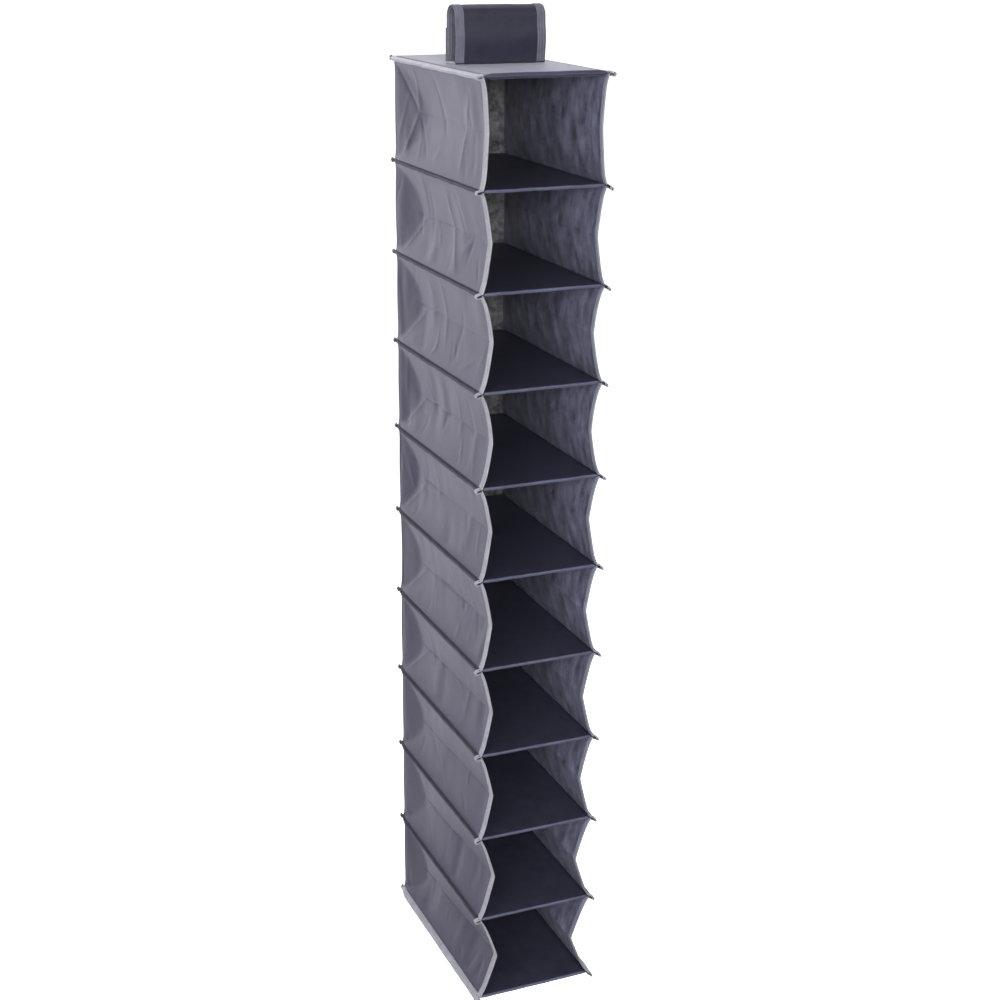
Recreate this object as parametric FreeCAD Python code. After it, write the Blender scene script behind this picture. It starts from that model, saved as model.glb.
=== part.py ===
"""Hanging shoe organizer: ten open pockets one above the other, sewn from thin non-woven cloth.

Stiff boards inside cloth sleeves make the top, the nine shelves and the bottom. Cloth side and back
panels join each level to the next, and fold inwards at half height when a pocket is pushed up flat.
A wide strap on the top closes round a wardrobe rail with hook-and-loop tape.

Frame: millimetres, +Z up, +X to the right, the open front faces -Y.
The origin is the axis of the rail, where the strap hangs on it.
"""
import FreeCAD, Part
import os

from FreeCAD import Vector

# Driving dimensions.
POCKETS = 10
BODY_WIDTH = 150.0  # between the side seams
BODY_DEPTH = 300.0
BODY_HEIGHT = 1200.0  # top panel to bottom panel, without the strap
TOP_PITCH = 128.0  # top panel to first shelf: the top pocket is a little taller than the rest
CLOTH = 0.8
BOARD = 2.2
BOARD_PLAY = 0.1  # above and below a board in its sleeve
BOARD_MARGIN = 1.5  # cloth hem round the board's pocket
SEAM = 8.0  # how far the sewn seams stand out from the sides and the back

CREASE_TAUT = 9.0  # inward fold of the upper pockets' sides, pulled by the weight below
CREASE_SLACK = 22.0  # inward fold of the lowest pocket's sides

TAPE = 0.5  # binding tape
TAPE_WIDTH = 10.5
TAPE_GAP = 0.05  # between the tapes of two neighbouring pockets

STRAP_WIDTH = 116.0
STRAP = 1.5
RAIL_RADIUS = 12.5  # of the largest rail that fits the strap's loop
RAIL_ABOVE_TOP = 54.0  # rail axis above the top panel
STRAP_TAPE_WIDTH = 11.0
STRAP_TAPE_PROUD = 0.3
STRAP_CORE = 0.9  # strap thickness inside its edge tape
FLAP_END = -45.0  # lower edge of the flap behind the rail
TAB_TOP = -13.0
TAPE_PAD = 1.0  # hook tape and loop tape
TAPE_PAD_HEIGHT = 28.0
TAPE_PAD_SIDE = 17.0  # from the strap's edge to the hook-and-loop tape
CLOSING_GAP = 0.1  # between the closed hook and loop tapes
PIVOT_GAP = 0.3

# Worked out from them.
SLEEVE = BOARD + 2 * BOARD_PLAY + 2 * CLOTH
PITCH = (BODY_HEIGHT - SLEEVE - TOP_PITCH) / (POCKETS - 1)
HALF_WIDTH = BODY_WIDTH / 2
HALF_DEPTH = BODY_DEPTH / 2
HALF_SLEEVE = SLEEVE / 2
SEAM_EDGE = HALF_WIDTH + SEAM
SEAM_BACK = HALF_DEPTH + SEAM
TOP_FACE = -RAIL_ABOVE_TOP
HALF_STRAP = STRAP_WIDTH / 2
STRAP_OUTER = RAIL_RADIUS + STRAP
TAB_INNER = STRAP_OUTER + 2 * TAPE_PAD + CLOSING_GAP
TAB_OUTER = TAB_INNER + STRAP
BASE_TOP = TOP_FACE + STRAP
LEG_FOOT = BASE_TOP + PIVOT_GAP
CORE_INSET = (STRAP - STRAP_CORE) / 2


def level(number):
    """Height of the middle of level 0, the top, to level POCKETS, the bottom."""
    top = TOP_FACE - HALF_SLEEVE
    return top if number == 0 else top - TOP_PITCH - PITCH * (number - 1)


def crease(pocket):
    """Inward fold of a pocket's sides: the less cloth hangs below it, the slacker it is."""
    share = (pocket - 1) / (POCKETS - 1)
    return CREASE_TAUT + (CREASE_SLACK - CREASE_TAUT) * share**4


def block(x0, x1, y0, y1, z0, z1):
    """A box between two corners."""
    return Part.makeBox(x1 - x0, y1 - y0, z1 - z0, Vector(x0, y0, z0))


def prism_along_y(outline, y0, y1):
    """A closed outline of (x, z) points, extruded along Y."""
    points = [Vector(x, y0, z) for x, z in outline]
    face = Part.Face(Part.makePolygon(points + points[:1]))
    return face.extrude(Vector(0, y1 - y0, 0))


def prism_along_x(outline, x0, x1):
    """A closed outline of (y, z) points, extruded along X."""
    points = [Vector(x0, y, z) for y, z in outline]
    face = Part.Face(Part.makePolygon(points + points[:1]))
    return face.extrude(Vector(x1 - x0, 0, 0))


def mirrored(shape):
    """The right-hand copy of a left-hand shape."""
    return shape.mirror(Vector(0, 0, 0), Vector(1, 0, 0))


def save(name, shapes):
    """Writes one node: each shape's solids, side by side."""
    solids = [solid for shape in shapes for solid in shape.Solids]
    for solid in solids:
        if not solid.isValid() or solid.Volume <= 0:
            raise ValueError(f"{name} has a bad solid")
    Part.makeCompound(solids).exportStep(f"parts/{name}.step")
    print(name, len(solids), "solids", round(sum(s.Volume for s in solids) / 1000, 2), "cm3")


# Levels: the top, the shelves and the bottom.


def sleeve_ply(z, side):
    """One cloth ply of a level's sleeve, with its share of the board's pocket: side is 1 above, -1 below."""
    low, high = sorted((z, z + side * HALF_SLEEVE))
    body = block(-HALF_WIDTH, HALF_WIDTH, -HALF_DEPTH, HALF_DEPTH, low, high)
    low, high = sorted((z, z + side * CLOTH))
    margin = block(-SEAM_EDGE, SEAM_EDGE, -HALF_DEPTH, SEAM_BACK, low, high)
    low, high = sorted((z, z + side * (HALF_SLEEVE - CLOTH)))
    x, y = HALF_WIDTH - BOARD_MARGIN, HALF_DEPTH - BOARD_MARGIN
    return body.fuse(margin).cut(block(-x, x, -y, y, low, high)).removeSplitter()


def sleeve(number):
    """Upper and lower cloth of a level, sewn together round the board."""
    return [sleeve_ply(level(number), 1), sleeve_ply(level(number), -1)]


def board(number):
    """The stiff board inside a level."""
    z = level(number)
    x = HALF_WIDTH - BOARD_MARGIN - BOARD_PLAY
    y = HALF_DEPTH - BOARD_MARGIN - BOARD_PLAY
    return block(-x, x, -y, y, z - BOARD / 2, z + BOARD / 2)


# Pockets: the walls between two levels.


def side_panel(pocket):
    """Left wall of a pocket, folded inwards at half height, with a seam flange at each end."""
    top, bottom, fold = level(pocket - 1), level(pocket), crease(pocket)
    middle = (top + bottom) / 2
    inner, outer = -HALF_WIDTH, -HALF_WIDTH - CLOTH
    outline = [
        (-SEAM_EDGE, top - CLOTH),
        (inner, top - CLOTH),
        (inner, top - HALF_SLEEVE),
        (inner + fold, middle),
        (inner, bottom + HALF_SLEEVE),
        (inner, bottom + CLOTH),
        (-SEAM_EDGE, bottom + CLOTH),
        (-SEAM_EDGE, bottom + 2 * CLOTH),
        (outer, bottom + 2 * CLOTH),
        (outer + fold, middle),
        (outer, top - 2 * CLOTH),
        (-SEAM_EDGE, top - 2 * CLOTH),
    ]
    return prism_along_y(outline, -HALF_DEPTH, HALF_DEPTH)


def back_panel(pocket):
    """Back wall of a pocket, with a seam flange at each end."""
    top, bottom = level(pocket - 1), level(pocket)
    inner, outer = HALF_DEPTH, HALF_DEPTH + CLOTH
    outline = [
        (SEAM_BACK, top - CLOTH),
        (inner, top - CLOTH),
        (inner, bottom + CLOTH),
        (SEAM_BACK, bottom + CLOTH),
        (SEAM_BACK, bottom + 2 * CLOTH),
        (outer, bottom + 2 * CLOTH),
        (outer, top - 2 * CLOTH),
        (SEAM_BACK, top - 2 * CLOTH),
    ]
    return prism_along_x(outline, -HALF_WIDTH, HALF_WIDTH)


def front_binding(pocket):
    """Tape folded round the front edge of a left wall and out round the ends of its seams."""
    top, bottom, fold = level(pocket - 1), level(pocket), crease(pocket)
    middle = (top + bottom) / 2
    inner, outer, tip = -HALF_WIDTH + TAPE, -HALF_WIDTH - CLOTH - TAPE, -SEAM_EDGE - TAPE
    depth = 2 * CLOTH + TAPE
    outline = [
        (tip, top - TAPE_GAP),
        (inner, top - TAPE_GAP),
        (inner, top - HALF_SLEEVE),
        (inner + fold, middle),
        (inner, bottom + HALF_SLEEVE),
        (inner, bottom + TAPE_GAP),
        (tip, bottom + TAPE_GAP),
        (tip, bottom + depth),
        (outer, bottom + depth),
        (outer + fold, middle),
        (outer, top - depth),
        (tip, top - depth),
    ]
    strip = prism_along_y(outline, -HALF_DEPTH - TAPE, -HALF_DEPTH - TAPE + TAPE_WIDTH)
    return strip.cut([side_panel(pocket), sleeve_ply(top, -1), sleeve_ply(bottom, 1)])


def edge_bindings(number, wall_side):
    """Tapes folded round the left, right and back seams of an end level.

    wall_side is -1 where the walls hang below the level, and 1 where they stand on it.
    """
    z = level(number)
    low, high = sorted((z + wall_side * (2 * CLOTH + TAPE), z - wall_side * (CLOTH + TAPE)))
    core_low, core_high = sorted((z + wall_side * 2 * CLOTH, z - wall_side * CLOTH))
    start = -HALF_DEPTH - TAPE + TAPE_WIDTH
    side_tape = block(-SEAM_EDGE - TAPE, -HALF_WIDTH - CLOTH, start, SEAM_BACK, low, high)
    side_core = block(-SEAM_EDGE, -HALF_WIDTH - CLOTH, start, SEAM_BACK, core_low, core_high)
    back_tape = block(
        -HALF_WIDTH, HALF_WIDTH, HALF_DEPTH + CLOTH, SEAM_BACK + TAPE, low, high
    )
    back_core = block(-HALF_WIDTH, HALF_WIDTH, HALF_DEPTH + CLOTH, SEAM_BACK, core_low, core_high)
    side = side_tape.cut(side_core)
    return [side, mirrored(side), back_tape.cut(back_core)]


# The hanging strap.


def loop_band(inner, outer, x0, x1):
    """Front leg, half turn over the rail and rear leg of the flap, as one band."""
    corners = [
        Vector(x0, -outer, LEG_FOOT),
        Vector(x0, -outer, 0),
        Vector(x0, outer, 0),
        Vector(x0, outer, FLAP_END),
        Vector(x0, inner, FLAP_END),
        Vector(x0, inner, 0),
        Vector(x0, -inner, 0),
        Vector(x0, -inner, LEG_FOOT),
    ]
    over = Part.Arc(corners[1], Vector(x0, 0, outer), corners[2]).toShape()
    under = Part.Arc(corners[5], Vector(x0, 0, inner), corners[6]).toShape()
    line = Part.makeLine
    wire = Part.Wire(
        [
            line(corners[0], corners[1]),
            over,
            line(corners[2], corners[3]),
            line(corners[3], corners[4]),
            line(corners[4], corners[5]),
            under,
            line(corners[6], corners[7]),
            line(corners[7], corners[0]),
        ]
    )
    return Part.Face(wire).extrude(Vector(x1 - x0, 0, 0))


def strap_flap():
    """The long part of the strap: thinner inside its edge tapes."""
    tape_start = HALF_STRAP - STRAP_TAPE_WIDTH
    middle = loop_band(RAIL_RADIUS, STRAP_OUTER, -tape_start, tape_start)
    core_in, core_out = RAIL_RADIUS + CORE_INSET, STRAP_OUTER - CORE_INSET
    edge = loop_band(core_in, core_out, -HALF_STRAP + TAPE, -tape_start)
    return middle.fuse([edge, mirrored(edge)]).removeSplitter()


def strap_flap_binding():
    """Tape folded round the left edge of the flap, flush with its inside."""
    tape_start = HALF_STRAP - STRAP_TAPE_WIDTH
    tape = loop_band(RAIL_RADIUS, STRAP_OUTER + STRAP_TAPE_PROUD, -HALF_STRAP, -tape_start)
    core_in, core_out = RAIL_RADIUS + CORE_INSET, STRAP_OUTER - CORE_INSET
    return tape.cut(loop_band(core_in, core_out, -HALF_STRAP + TAPE, -tape_start))


def bound_plate(y0, y1, z0, z1, proud_low, proud_high, along_z):
    """A flat strap piece with a tape round its left and right edges.

    proud_low and proud_high say how far the tape stands out of the plate's two faces.
    """
    tape_start = HALF_STRAP - STRAP_TAPE_WIDTH
    middle = block(-tape_start, tape_start, y0, y1, z0, z1)
    if along_z:
        tape = block(-HALF_STRAP, -tape_start, y0 - proud_low, y1 + proud_high, z0, z1)
        core = block(-HALF_STRAP + TAPE, -tape_start, y0 + CORE_INSET, y1 - CORE_INSET, z0, z1)
    else:
        tape = block(-HALF_STRAP, -tape_start, y0, y1, z0 - proud_low, z1 + proud_high)
        core = block(-HALF_STRAP + TAPE, -tape_start, y0, y1, z0 + CORE_INSET, z1 - CORE_INSET)
    binding = tape.cut(core)
    plate = middle.fuse([core, mirrored(core)]).removeSplitter()
    return [plate, binding, mirrored(binding)]


def strap_base():
    """The part of the strap sewn flat on the top panel."""
    return bound_plate(-STRAP_OUTER, TAB_OUTER, TOP_FACE, BASE_TOP, 0, 0, False)


def strap_tab():
    """The short upright behind the flap, which its loop tape closes on."""
    return bound_plate(TAB_INNER, TAB_OUTER, LEG_FOOT, TAB_TOP, 0, STRAP_TAPE_PROUD, True)


def closing_tape(y0):
    """A band of hook tape or loop tape across the strap, starting at depth y0."""
    half = HALF_STRAP - TAPE_PAD_SIDE
    bottom = FLAP_END + 2
    return block(-half, half, y0, y0 + TAPE_PAD, bottom, bottom + TAPE_PAD_HEIGHT)


def main():
    os.makedirs("parts", exist_ok=True)
    names = ["top"] + [f"shelf_{n:02d}" for n in range(1, POCKETS)] + ["bottom"]
    for number, name in enumerate(names):
        save(f"{name}_cover", sleeve(number))
        save(f"{name}_board", [board(number)])
    save("top_edge_bindings", edge_bindings(0, -1))
    save("bottom_edge_bindings", edge_bindings(POCKETS, 1))

    for pocket in range(1, POCKETS + 1):
        left = side_panel(pocket)
        save(f"side_panels_{pocket:02d}", [left, mirrored(left)])
        save(f"back_panel_{pocket:02d}", [back_panel(pocket)])
        tape = front_binding(pocket)
        save(f"front_bindings_{pocket:02d}", [tape, mirrored(tape)])

    save("strap_base", strap_base())
    save("strap_flap", [strap_flap()])
    binding = strap_flap_binding()
    save("strap_flap_bindings", [binding, mirrored(binding)])
    save("strap_tab", strap_tab())
    save("loop_tape", [closing_tape(STRAP_OUTER)])
    save("hook_tape", [closing_tape(STRAP_OUTER + TAPE_PAD + CLOSING_GAP)])


main()
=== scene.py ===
"""Looks of the hanging shoe organizer: cloth walls, cloth-covered boards, edge tapes, stitches and strap.

Lengths are in millimetres here and are turned into metres when a mesh is made.
"""
import math

import bpy
import numpy as np
from mathutils import Matrix, Vector


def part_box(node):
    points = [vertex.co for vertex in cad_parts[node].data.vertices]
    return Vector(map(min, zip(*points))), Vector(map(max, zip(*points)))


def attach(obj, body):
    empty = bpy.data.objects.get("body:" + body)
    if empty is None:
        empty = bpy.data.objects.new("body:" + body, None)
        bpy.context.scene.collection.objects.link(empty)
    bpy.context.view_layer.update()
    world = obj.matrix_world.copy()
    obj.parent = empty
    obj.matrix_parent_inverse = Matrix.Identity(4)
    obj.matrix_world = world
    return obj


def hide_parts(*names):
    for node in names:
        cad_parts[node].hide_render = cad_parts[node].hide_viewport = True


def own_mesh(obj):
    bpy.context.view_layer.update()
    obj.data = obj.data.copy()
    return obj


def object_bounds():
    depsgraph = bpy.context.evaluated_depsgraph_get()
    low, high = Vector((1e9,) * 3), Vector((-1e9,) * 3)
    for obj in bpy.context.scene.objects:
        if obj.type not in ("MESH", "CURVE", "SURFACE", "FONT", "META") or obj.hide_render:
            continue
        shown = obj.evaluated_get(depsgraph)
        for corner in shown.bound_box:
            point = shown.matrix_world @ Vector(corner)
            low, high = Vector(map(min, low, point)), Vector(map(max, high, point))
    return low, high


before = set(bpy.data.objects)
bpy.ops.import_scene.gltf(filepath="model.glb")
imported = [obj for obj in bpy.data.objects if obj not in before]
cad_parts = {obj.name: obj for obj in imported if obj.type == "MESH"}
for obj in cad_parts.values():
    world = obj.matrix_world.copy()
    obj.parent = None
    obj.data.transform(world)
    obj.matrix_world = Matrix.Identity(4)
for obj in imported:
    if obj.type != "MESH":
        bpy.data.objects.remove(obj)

CAD_LOW, CAD_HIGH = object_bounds()
MM = 0.001

# ---- sizes taken from the frame

POCKETS = 10
LEVELS = ["top"] + [f"shelf_{n:02d}" for n in range(1, POCKETS)] + ["bottom"]
LEVEL_BODIES = ["top_panel"] + LEVELS[1:POCKETS] + ["bottom_panel"]


def box_mm(node):
    """Lowest and highest corners of a node's box, in millimetres."""
    return [np.array(corner) * 1000 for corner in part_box(node)]


def middle_height(level):
    low, high = box_mm(f"{level}_cover")
    return (low[2] + high[2]) / 2


LEVEL_Z = [middle_height(level) for level in LEVELS]
COVER_LOW, COVER_HIGH = box_mm("top_cover")
FIN = 8.0  # how far the sewn seams stand out of the walls
SEAM_ROOT = 3.0  # how far out a seam starts to be free
HALF_WIDTH = COVER_HIGH[0] - FIN
FRONT = COVER_LOW[1]
REAR = COVER_HIGH[1] - FIN
HALF_SLEEVE = (COVER_HIGH[2] - COVER_LOW[2]) / 2

# ---- cloth shapes

CLOTH = 0.8  # thickness
PLY = 1.25  # middle of a wall's flange above or below a level's middle
SKIN = 0.45  # middle of a wall outside the side of a sleeve
FLARE = 2.0  # how far a wall leans out towards its seam
FLARE_FADE = 7.0  # over how much of its height
BEND = 1.5  # radius where a wall turns out into its seam
FIN_DROOP = 0.8  # how far a seam's edge hangs
BOTTOM_DROOP = 2.6  # how much further the bottom seam hangs, in steps of the unevenness
SEAM_GAPE = 0.7  # how far a seam's cloths part at its front end
# For each pocket: how far its walls' crease leans in at the front, and the crease's share of the way down.
CREASE_LEFT = (4.0, 8.5, 10.5, 10.5, 10.0, 10.5, 12.0, 13.0, 16.0, 20.0)
CREASE_RIGHT = (4.5, 8.0, 10.0, 10.0, 10.5, 11.5, 13.0, 14.0, 18.0, 22.0)
CREASE_HEIGHT = (0.49, 0.50, 0.48, 0.51, 0.46, 0.50, 0.50, 0.49, 0.49, 0.50)
CREASE_REAR = 9.5  # the least lean towards the rear
FACETS = (88, 76, 66, 58, 52, 56, 58, 60, 62, 64)  # how far forward each pocket's rear fold reaches
ROUND_FOLD = (0.12, 0.05, 0.13, 0.15, 0.05, 0.05, 0.04, 0.04, 0.03, 0.03)  # how round the front fold is
CORNER_BOW_X = (0.6, 2.2, 1.2, 1.0, 1.0, -1.6, 1.0, 0.9, 1.0, 0.9)  # how far the rear corners bow out
CORNER_BOW_Y = 2.0
TAPE_WIDTH = (10.5, 10.0, 9.4, 8.9, 8.6, 8.4, 8.3, 8.3, 8.3, 8.3)  # outside, on each pocket's front edges
INNER_TAPE_WIDTH = 6.4
TAPE_OFFSET = 0.72  # middle of the tape from the middle of the cloth
TAPE = 0.5  # thickness


def stacked(*values):
    """One array whose last axis runs through the values, each an array or a number."""
    return np.stack(np.broadcast_arrays(*values), axis=-1)


def crossed(a, b):
    """Two grids, of the first value and of the second, over all pairs of them."""
    return np.meshgrid(a, b, indexing="ij")


def smooth(low, high, value):
    share = np.clip((value - low) / (high - low), 0, 1)
    return share * share * (3 - 2 * share)


def soft_min(a, b, width):
    share = np.clip(0.5 + 0.5 * (b - a) / width, 0, 1)
    return b * (1 - share) + a * share - width * share * (1 - share)


def lattice(rng, u, v, cell_u, cell_v):
    """Smooth noise from -1 to 1 with cells of that size."""
    a, b = u / cell_u, v / cell_v
    a, b = a - a.min(), b - b.min()
    values = rng.uniform(-1, 1, (int(a.max()) + 3, int(b.max()) + 3))
    i, j = a.astype(int), b.astype(int)
    s, t = a - i, b - j
    s, t = s * s * (3 - 2 * s), t * t * (3 - 2 * t)
    low = values[i, j] * (1 - s) + values[i + 1, j] * s
    high = values[i, j + 1] * (1 - s) + values[i + 1, j + 1] * s
    return low * (1 - t) + high * t


def ridges(rng, u, v, count, height, lean=0.25, long=(18, 50), wide=(2.0, 6.0)):
    """Soft folds that run mostly along v: each a ridge or a valley across a short line."""
    total = np.zeros(u.shape)
    for _ in range(count):
        u0 = rng.uniform(u.min(), u.max())
        v0 = rng.uniform(v.min(), v.max())
        tilt = rng.normal(0, lean)
        half, width = rng.uniform(*long), rng.uniform(*wide)
        size = height * rng.uniform(0.35, 1.0) * rng.choice((-1, 1))
        along = (v - v0) * math.cos(tilt) + (u - u0) * math.sin(tilt)
        across = (u - u0) * math.cos(tilt) - (v - v0) * math.sin(tilt)
        total += size * np.exp(-((across / width) ** 2) - (along / half) ** 4)
    return total


def fold_line(u, v, start, end, depth, width=3.0):
    """A crease along the line between two places: sharp in its middle, and fading at both ends."""
    du, dv = end[0] - start[0], end[1] - start[1]
    length = math.hypot(du, dv)
    along = ((u - start[0]) * du + (v - start[1]) * dv) / length
    across = ((u - start[0]) * dv - (v - start[1]) * du) / length
    fade = smooth(-0.1 * length, 0.2 * length, along) * smooth(1.1 * length, 0.8 * length, along)
    return depth * fade * np.exp(-np.sqrt((across / width) ** 2 + 0.02) + 0.14)


# Creases of the left walls that stand out, by pocket. Each has two ends, given as millimetres from the
# rear and share of the way down, then its depth and its width.
WALL_FOLDS = {
    1: (
        (2, 0.03, 70, 0.48, -1.3, 5.0), (62, 0.05, 70, 0.46, 0.9, 5.0), (70, 0.48, 22, 0.95, 1.1, 5.0),
        (70, 0.5, 104, 0.9, -0.8, 4.0), (72, 0.5, 76, 0.95, 0.6, 5.0), (128, 0.1, 165, 0.62, -1.2, 6.0),
        (244, 0.2, 218, 0.93, 1.1, 7.0), (262, 0.42, 262, 0.9, -0.7, 9.0),
    ),
    2: (
        (92, 0.5, 24, 0.95, 1.0, 5.0), (90, 0.06, 94, 0.5, 0.8, 5.0), (168, 0.12, 204, 0.92, 1.1, 7.0),
        (200, 0.08, 226, 0.55, -1.1, 7.0), (110, 0.15, 118, 0.8, -0.6, 5.0),
    ),
    3: (
        (88, 0.5, 22, 0.93, 0.8, 4.5), (150, 0.08, 158, 0.75, 0.9, 7.0), (214, 0.3, 190, 0.95, -0.8, 7.0),
    ),
    4: (
        (84, 0.48, 20, 0.93, 0.8, 4.5), (196, 0.1, 204, 0.7, 0.8, 8.0), (232, 0.2, 246, 0.6, -0.7, 6.0),
    ),
    5: (
        (80, 0.5, 18, 0.92, 0.8, 4.0), (120, 0.05, 128, 0.6, 0.7, 8.0),
    ),
    6: (
        (82, 0.5, 20, 0.92, 0.8, 4.0), (206, 0.35, 214, 0.6, -0.8, 4.0), (222, 0.35, 214, 0.6, -0.7, 4.0),
    ),
    7: (
        (84, 0.5, 24, 0.93, 0.7, 4.0), (230, 0.3, 224, 0.8, 0.7, 6.0),
    ),
    8: ((86, 0.45, 120, 0.7, -0.6, 6.0),),
}
BACK_ARC = ((24, 0.62), (44, 0.76), (56, 0.86), (70, 0.92))  # a curved crease in the top pocket's back wall

# ---- mesh making

CORNER_TRIM = 0.42  # share of a seam's width that is cut away at the rear corners
TRIM_LENGTH = 24.0


def trim_corners(points):
    """The same points, with the seams tapered towards the two rear corners."""
    points = np.array(points, float)
    beside = abs(points[:, 0]) - HALF_WIDTH
    behind = points[:, 1] - REAR
    cut_x = CORNER_TRIM * smooth(-TRIM_LENGTH, 2, behind) * np.maximum(beside, 0)
    cut_y = CORNER_TRIM * smooth(-TRIM_LENGTH, 2, beside) * np.maximum(behind, 0)
    points[:, 0] -= np.sign(points[:, 0]) * cut_x
    points[:, 1] -= cut_y
    return points


def signed_volume(mesh):
    """Volume inside a closed mesh, below zero where its faces point inwards."""
    mesh.calc_loop_triangles()
    corners = np.zeros(3 * len(mesh.loop_triangles), np.int32)
    mesh.loop_triangles.foreach_get("vertices", corners)
    places = np.zeros(3 * len(mesh.vertices))
    mesh.vertices.foreach_get("co", places)
    a, b, c = places.reshape(-1, 3)[corners.reshape(-1, 3)].transpose(1, 0, 2)
    return np.einsum("ij,ij->", a, np.cross(b, c)) / 6


def new_object(name, data):
    thing = bpy.data.objects.new(name, data)
    bpy.context.scene.collection.objects.link(thing)
    return thing


def make_piece(name, points, faces, uvs, material, body, slot, sharp=50, face_materials=None):
    """A mesh piece from points in millimetres, its faces, and one texture coordinate in metres a point.

    material is one material, or a list of them that face_materials picks from for each face.
    """
    mesh = bpy.data.meshes.new(name)
    mesh.from_pydata((trim_corners(points) * MM).tolist(), [], faces)
    if signed_volume(mesh) < 0:
        mesh.flip_normals()
    mesh.polygons.foreach_set("use_smooth", [True] * len(mesh.polygons))
    mesh.set_sharp_from_angle(angle=math.radians(sharp))
    layer = mesh.uv_layers.new(name="cloth")
    index = np.zeros(len(mesh.loops), int)
    mesh.loops.foreach_get("vertex_index", index)
    layer.data.foreach_set("uv", (np.asarray(uvs)[index] * MM).ravel())
    for one in material if face_materials is not None else [material]:
        mesh.materials.append(one)
    if face_materials is not None:
        mesh.polygons.foreach_set("material_index", face_materials)
    piece = new_object(name, mesh)
    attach(piece, body)
    return piece


def grid_faces(index, flip=False):
    """Quads between the neighbours in a grid of point numbers."""
    quads = stacked(index[:-1, :-1], index[1:, :-1], index[1:, 1:], index[:-1, 1:]).reshape(-1, 4)
    return (quads[:, ::-1] if flip else quads).tolist()


def between(upper, lower):
    """Points and faces of a closed piece between two grids of points."""
    index = np.arange(upper.size // 3).reshape(upper.shape[:2])
    loop = np.concatenate([index[0, :], index[1:, -1], index[-1, -2::-1], index[-2:0:-1, 0]])
    following = np.roll(loop, -1)
    rim = stacked(loop, following, following + index.size, loop + index.size).tolist()
    points = np.concatenate([upper.reshape(-1, 3), lower.reshape(-1, 3)])
    return points, grid_faces(index) + grid_faces(index + index.size, True) + rim


def grid_normals(points):
    normals = np.cross(np.gradient(points, axis=0), np.gradient(points, axis=1))
    return normals / np.maximum(np.linalg.norm(normals, axis=2, keepdims=True), 1e-9)


def running_length(points):
    """Distance along a line of points, from its first."""
    return np.concatenate([[0], np.cumsum(np.linalg.norm(np.diff(points, axis=0), axis=1))])


def shell(points, thickness, uv):
    """A closed thin sheet round a grid of middle points, as points, faces and texture coordinates."""
    offset = grid_normals(points) * thickness / 2
    return *between(points + offset, points - offset), np.concatenate([uv.reshape(-1, 2)] * 2)


def read_off(where, at, values):
    """Points at some places along a line of points that lie at other places."""
    return stacked(*(np.interp(where, at, column) for column in values.T))


def tube_faces(rows, count, caps):
    """Quads round a closed tube of sections, and whatever caps(section, last) makes of its two ends."""
    index = np.arange(rows * count).reshape(rows, count)
    following = np.roll(index, -1, axis=1)
    quads = stacked(index[:-1], following[:-1], following[1:], index[1:]).reshape(-1, 4)
    return quads.tolist() + caps(index[0]) + caps(index[-1], True)


def shifted(faces, first):
    return [[first + number for number in face] for face in faces]


def fold_caps(ring, flip=False):
    """Quads that close a folded tape's cut end. Half of the ring is its outer line, the rest its inner."""
    half = len(ring) // 2
    outer, inner = ring[:half].tolist(), ring[half:][::-1].tolist()
    quads = [(outer[i + 1], outer[i], inner[i], inner[i + 1]) for i in range(half - 1)]
    return [q[::-1] if flip else q for q in quads]


def fan_caps(ring, flip=False):
    """One flat face that closes a tube."""
    return [ring.tolist() if flip else ring[::-1].tolist()]


def folded_tape(points, around, lengthways):
    """Points, faces and texture coordinates of a folded tape, from a grid of sections along its line."""
    uv = np.stack(np.meshgrid(around, lengthways), axis=-1).reshape(-1, 2)
    return points.reshape(-1, 3), tube_faces(*points.shape[:2], fold_caps), uv


def swept_piece(name, grid, material, body):
    """A piece of edge tape from a grid of its sections."""
    tape = folded_tape(grid, running_length(grid[0]), running_length(grid.mean(axis=1)))
    return make_piece(name, *tape, material, body, "binding_tape", 40)


# ---- walls


class Profile:
    """Section of a wall between two levels: out, how far out of the wall's plane, and z, its height."""

    def __init__(self, top, bottom, step=1.6):
        flange = np.linspace(FIN, SKIN + FLARE + BEND, 5)
        angle = np.linspace(math.pi / 2, math.pi, 6)[1:]
        bend_out = SKIN + FLARE + BEND + BEND * np.cos(angle)
        bend_z = top - PLY - BEND + BEND * np.sin(angle)
        high, low = top - PLY - BEND, bottom + PLY + BEND
        count = int((high - low) / step)
        wall = np.linspace(high, low, count + 1)[1:-1]
        depth = np.minimum(high - wall, wall - low)
        wall_out = SKIN + FLARE * np.exp(-((depth / FLARE_FADE) ** 1.3))
        hem_out = np.concatenate([flange, bend_out])
        hem_z = np.concatenate([np.full(5, top - PLY), bend_z])
        self.out = np.concatenate([hem_out, wall_out, hem_out[::-1]])
        self.z = np.concatenate([hem_z, wall, (top + bottom) - hem_z[::-1]])
        self.share = np.clip((high - self.z) / (high - low), 0, 1)
        self.seam = np.maximum(0, np.minimum(high - self.z, self.z - low))
        self.top, self.height = top, top - bottom
        self.length = running_length(stacked(self.out, self.z))

    def grids(self, along):
        """Grids of places along the wall and of the profile: place, share, out, z, distance from a seam."""
        place, share = crossed(along, self.share)
        return place, share, *(np.broadcast_to(v, place.shape) for v in (self.out, self.z, self.seam))


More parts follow.
